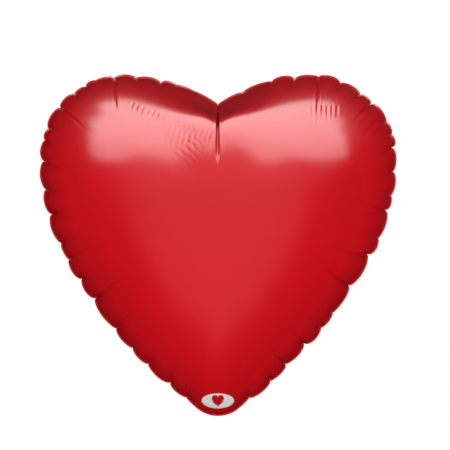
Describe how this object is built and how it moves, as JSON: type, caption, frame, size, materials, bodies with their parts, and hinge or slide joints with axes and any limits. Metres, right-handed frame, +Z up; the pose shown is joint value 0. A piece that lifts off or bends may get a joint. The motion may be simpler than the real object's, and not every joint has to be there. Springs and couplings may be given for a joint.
{
  "type": "heart-shaped foil balloon",
  "caption": "Inflated heart-shaped balloon of red metallised film, with a welded rim, an inner self-sealing film valve and a filling tail that folds at a crease.",
  "frame": {"origin": "middle of the crease where the filling tail joins the point of the heart, on the seam plane: the place where a ribbon is tied", "axes": "+Z up through the notch of the heart, -Y out of the front panel, +X to the right as the front is seen"},
  "size_m": [0.3756, 0.179, 0.3617],
  "materials": {
    "red_foil": "metallised nylon film with a transparent red print: satin metallic under a clear gloss",
    "valve_film": "thin translucent polyethylene, slightly cloudy"
  },
  "bodies": {
    "envelope": {"front_panel": "red_foil", "rear_panel": "red_foil", "valve_front_film": "valve_film", "valve_rear_film": "valve_film"},
    "tail": {"tail_front_ply": "red_foil", "tail_rear_ply": "red_foil", "tail_valve_front_film": "valve_film", "tail_valve_rear_film": "valve_film"}
  },
  "joints": [
    {"name": "tail_fold", "type": "hinge", "parent": "envelope", "child": "tail", "pos_m": [0, 0, 0], "axis": [-1, 0, 0], "range_deg": [0, 236]}
  ]
}
